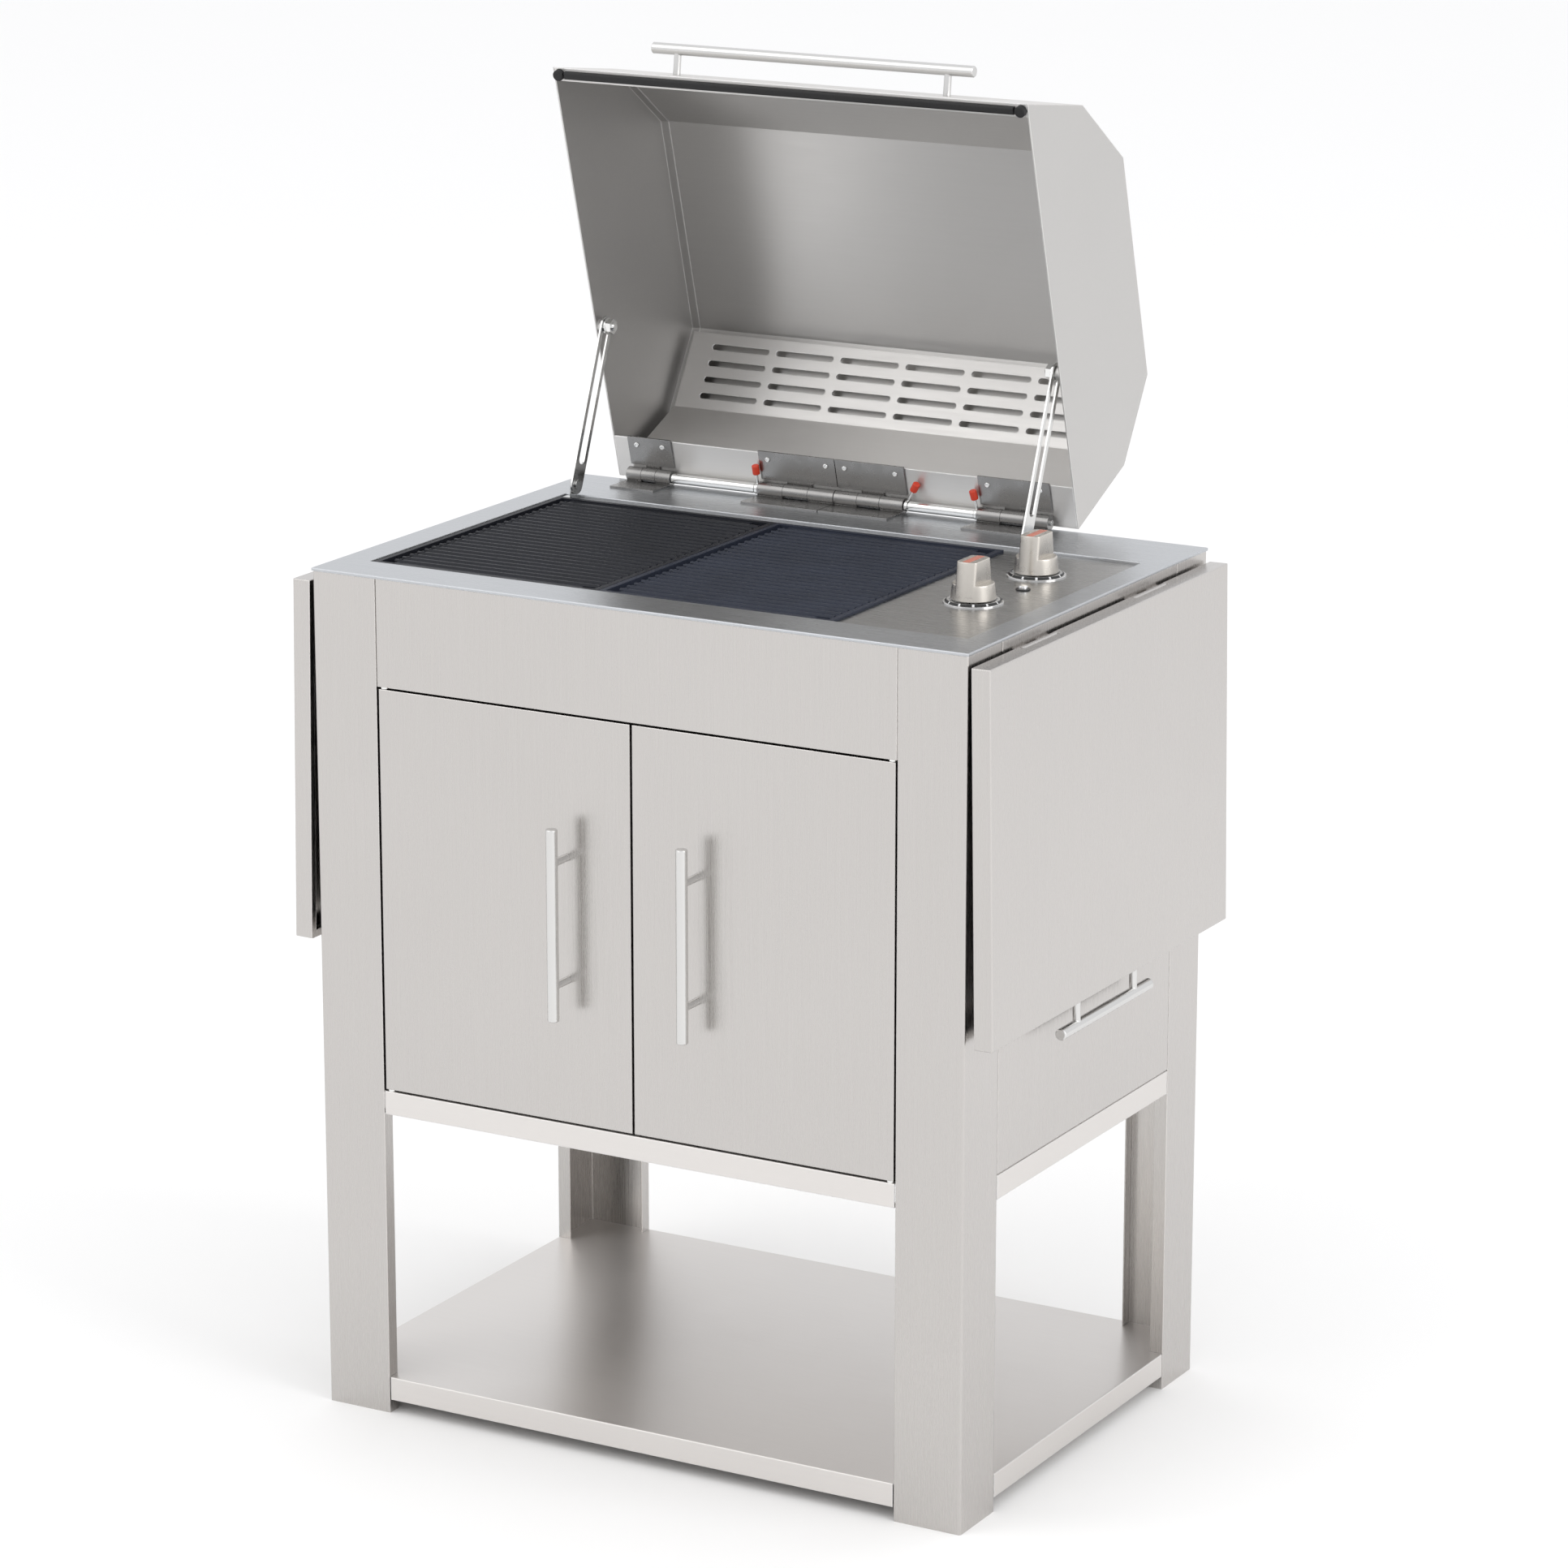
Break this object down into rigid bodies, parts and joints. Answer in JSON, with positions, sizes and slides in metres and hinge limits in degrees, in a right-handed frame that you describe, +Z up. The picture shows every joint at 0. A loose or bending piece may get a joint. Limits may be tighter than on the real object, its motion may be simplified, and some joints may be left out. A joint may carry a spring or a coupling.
{
  "type": "gas barbecue grill",
  "caption": "Free-standing gas barbecue in folded stainless sheet: hinged lid held by slotted stays, cast grill plates, cupboard with doors, open shelf and drop leaves.",
  "frame": {"origin": "on the floor under the middle of the cart", "axes": "+X to the right of the person who cooks, +Y to the back, +Z up"},
  "size_m": [0.8112, 0.7287, 1.3885],
  "materials": {
    "steel": "fine vertical brushing, satin",
    "worktop_steel": "fine brushing, satin",
    "inner_steel": "dull sheet, slightly heat tinted",
    "enamelled_iron": "matt black enamel on cast iron",
    "bar_steel": "ground round bar, satin",
    "satin_nickel": "satin nickel plate on a die casting",
    "polished": "bright plated",
    "brass": "machined",
    "rubber": "black silicone",
    "red_cap": "soft dipped vinyl",
    "black_plastic": "moulded, fine texture"
  },
  "bodies": {
    "root": {"bottom_shelf": "steel", "burners": "inner_steel", "cabinet_floor": "steel", "control_deck": "worktop_steel", "door_catch": "black_plastic", "door_hinge_pins": "polished", "firebox": "inner_steel", "front_fascia": "steel", "gas_manifold": "brass", "gas_valves": "brass", "igniter_housing": "black_plastic", "knob_bezels": "polished", "leaf_hinge_pins": "polished", "leaf_hinge_plates": "steel", "leaf_stay_catches": "steel", "leg_front_left": "steel", "leg_front_right": "steel", "leg_rear_left": "steel", "leg_rear_right": "steel", "lid_hinge_fixed_leaves": "steel", "lid_hinge_rod": "polished", "lid_hinge_tubes": "polished", "lid_stay_brackets": "polished", "rear_panel": "steel", "side_panel_left": "steel", "side_panel_right": "steel", "tray_rails": "inner_steel", "worktop_frame": "worktop_steel"},
    "lid": {"lid_buffers": "rubber", "lid_end_left": "steel", "lid_end_right": "steel", "lid_handle": "bar_steel", "lid_hinge_leaves": "steel", "lid_seal": "rubber", "lid_shell": "steel", "lid_spring_caps": "red_cap", "lid_springs": "polished", "lid_vent_panel": "steel"},
    "lid_stay_left": {"lid_stay_left": "polished"},
    "lid_stay_right": {"lid_stay_right": "polished"},
    "lid_stud_left": {"lid_stay_stud_left": "polished"},
    "lid_stud_right": {"lid_stay_stud_right": "polished"},
    "door_left": {"door_left": "steel", "door_handle_left": "bar_steel"},
    "door_right": {"door_right": "steel", "door_handle_right": "bar_steel"},
    "leaf_left": {"leaf_left": "steel", "leaf_handle_left": "bar_steel"},
    "leaf_right": {"leaf_right": "steel", "leaf_handle_right": "bar_steel"},
    "leaf_stay_left": {"leaf_stay_left": "steel"},
    "leaf_stay_right": {"leaf_stay_right": "steel"},
    "knob_front_press": {"knob_collar_front": "satin_nickel"},
    "knob_rear_press": {"knob_collar_rear": "satin_nickel"},
    "knob_front": {"knob_front": "satin_nickel"},
    "knob_rear": {"knob_rear": "satin_nickel"},
    "igniter_button": {"igniter_button": "polished"},
    "grill_plate_left": {"grill_plate_left": "enamelled_iron"},
    "grill_plate_right": {"grill_plate_right": "enamelled_iron"},
    "drip_tray": {"drip_tray": "inner_steel"}
  },
  "joints": [
    {"name": "lid_hinge", "type": "hinge", "parent": "root", "child": "lid", "pos_m": [0, 0.26, 0.908], "axis": [1, 0, 0], "range_deg": [0, 75.4]},
    {"name": "lid_stay_right_pivot", "type": "hinge", "parent": "root", "child": "lid_stay_right", "pos_m": [0.2165, 0.1665, 0.912], "axis": [1, 0, 0], "range_deg": [0, 104.61]},
    {"name": "lid_stud_right_slide", "type": "slide", "parent": "lid_stay_right", "child": "lid_stud_right", "axis": [0, 0.3665, 0.9304], "range_m": [-0.09903, 0]},
    {"name": "lid_stay_left_pivot", "type": "hinge", "parent": "root", "child": "lid_stay_left", "pos_m": [-0.3255, 0.1665, 0.912], "axis": [1, 0, 0], "range_deg": [0, 104.61]},
    {"name": "lid_stud_left_slide", "type": "slide", "parent": "lid_stay_left", "child": "lid_stud_left", "axis": [0, 0.3665, 0.9304], "range_m": [-0.09903, 0]},
    {"name": "door_right_hinge", "type": "hinge", "parent": "root", "child": "door_right", "pos_m": [0.2925, -0.26, 0.57], "axis": [0, 0, 1], "range_deg": [0, 110]},
    {"name": "leaf_right_fold", "type": "hinge", "parent": "root", "child": "leaf_right", "pos_m": [0.3815, 0, 0.8825], "axis": [0, -1, 0], "range_deg": [0, 91]},
    {"name": "leaf_stay_right_pivot", "type": "hinge", "parent": "leaf_right", "child": "leaf_stay_right", "pos_m": [0.39144, 0, 0.74265], "axis": [0, 1, 0], "range_deg": [0, 134.48]},
    {"name": "door_left_hinge", "type": "hinge", "parent": "root", "child": "door_left", "pos_m": [-0.2925, -0.26, 0.57], "axis": [0, 0, -1], "range_deg": [0, 110]},
    {"name": "leaf_left_fold", "type": "hinge", "parent": "root", "child": "leaf_left", "pos_m": [-0.3815, 0, 0.8825], "axis": [0, 1, 0], "range_deg": [0, 91]},
    {"name": "leaf_stay_left_pivot", "type": "hinge", "parent": "leaf_left", "child": "leaf_stay_left", "pos_m": [-0.39144, 0, 0.74265], "axis": [0, -1, 0], "range_deg": [0, 134.48]},
    {"name": "knob_front_push", "type": "slide", "parent": "root", "child": "knob_front_press", "axis": [0, 0, -1], "range_m": [0, 0.004], "stiffness_N_per_m": 900, "springref_m": -0.008},
    {"name": "knob_front_turn", "type": "hinge", "parent": "knob_front_press", "child": "knob_front", "pos_m": [0.2735, -0.06, 0.9015], "axis": [0, 0, 1], "range_deg": [0, 210]},
    {"name": "knob_rear_push", "type": "slide", "parent": "root", "child": "knob_rear_press", "axis": [0, 0, -1], "range_m": [0, 0.004], "stiffness_N_per_m": 900, "springref_m": -0.008},
    {"name": "knob_rear_turn", "type": "hinge", "parent": "knob_rear_press", "child": "knob_rear", "pos_m": [0.2735, 0.077, 0.9015], "axis": [0, 0, 1], "range_deg": [0, 210]},
    {"name": "igniter_push", "type": "slide", "parent": "root", "child": "igniter_button", "axis": [0, 0, -1], "range_m": [0, 0.0025], "stiffness_N_per_m": 400, "springref_m": -0.005},
    {"name": "grill_plate_left_lift", "type": "slide", "parent": "root", "child": "grill_plate_left", "axis": [0, 0, -1], "range_m": [-0.06, 0]},
    {"name": "grill_plate_right_lift", "type": "slide", "parent": "root", "child": "grill_plate_right", "axis": [0, 0, -1], "range_m": [-0.06, 0]},
    {"name": "drip_tray_slide", "type": "slide", "parent": "root", "child": "drip_tray", "axis": [0, 1, 0], "range_m": [0, 0.3]}
  ],
  "couplings": [
    {"joint": "lid_stay_right_pivot", "follows": "lid_hinge", "ratio": 1.3868},
    {"joint": "lid_stud_right_slide", "follows": "lid_hinge", "m_per_rad": -0.075175},
    {"joint": "lid_stay_left_pivot", "follows": "lid_hinge", "ratio": 1.3868},
    {"joint": "lid_stud_left_slide", "follows": "lid_hinge", "m_per_rad": -0.075175},
    {"joint": "leaf_stay_right_pivot", "follows": "leaf_right_fold", "ratio": 1.4772},
    {"joint": "leaf_stay_left_pivot", "follows": "leaf_left_fold", "ratio": 1.4772}
  ]
}
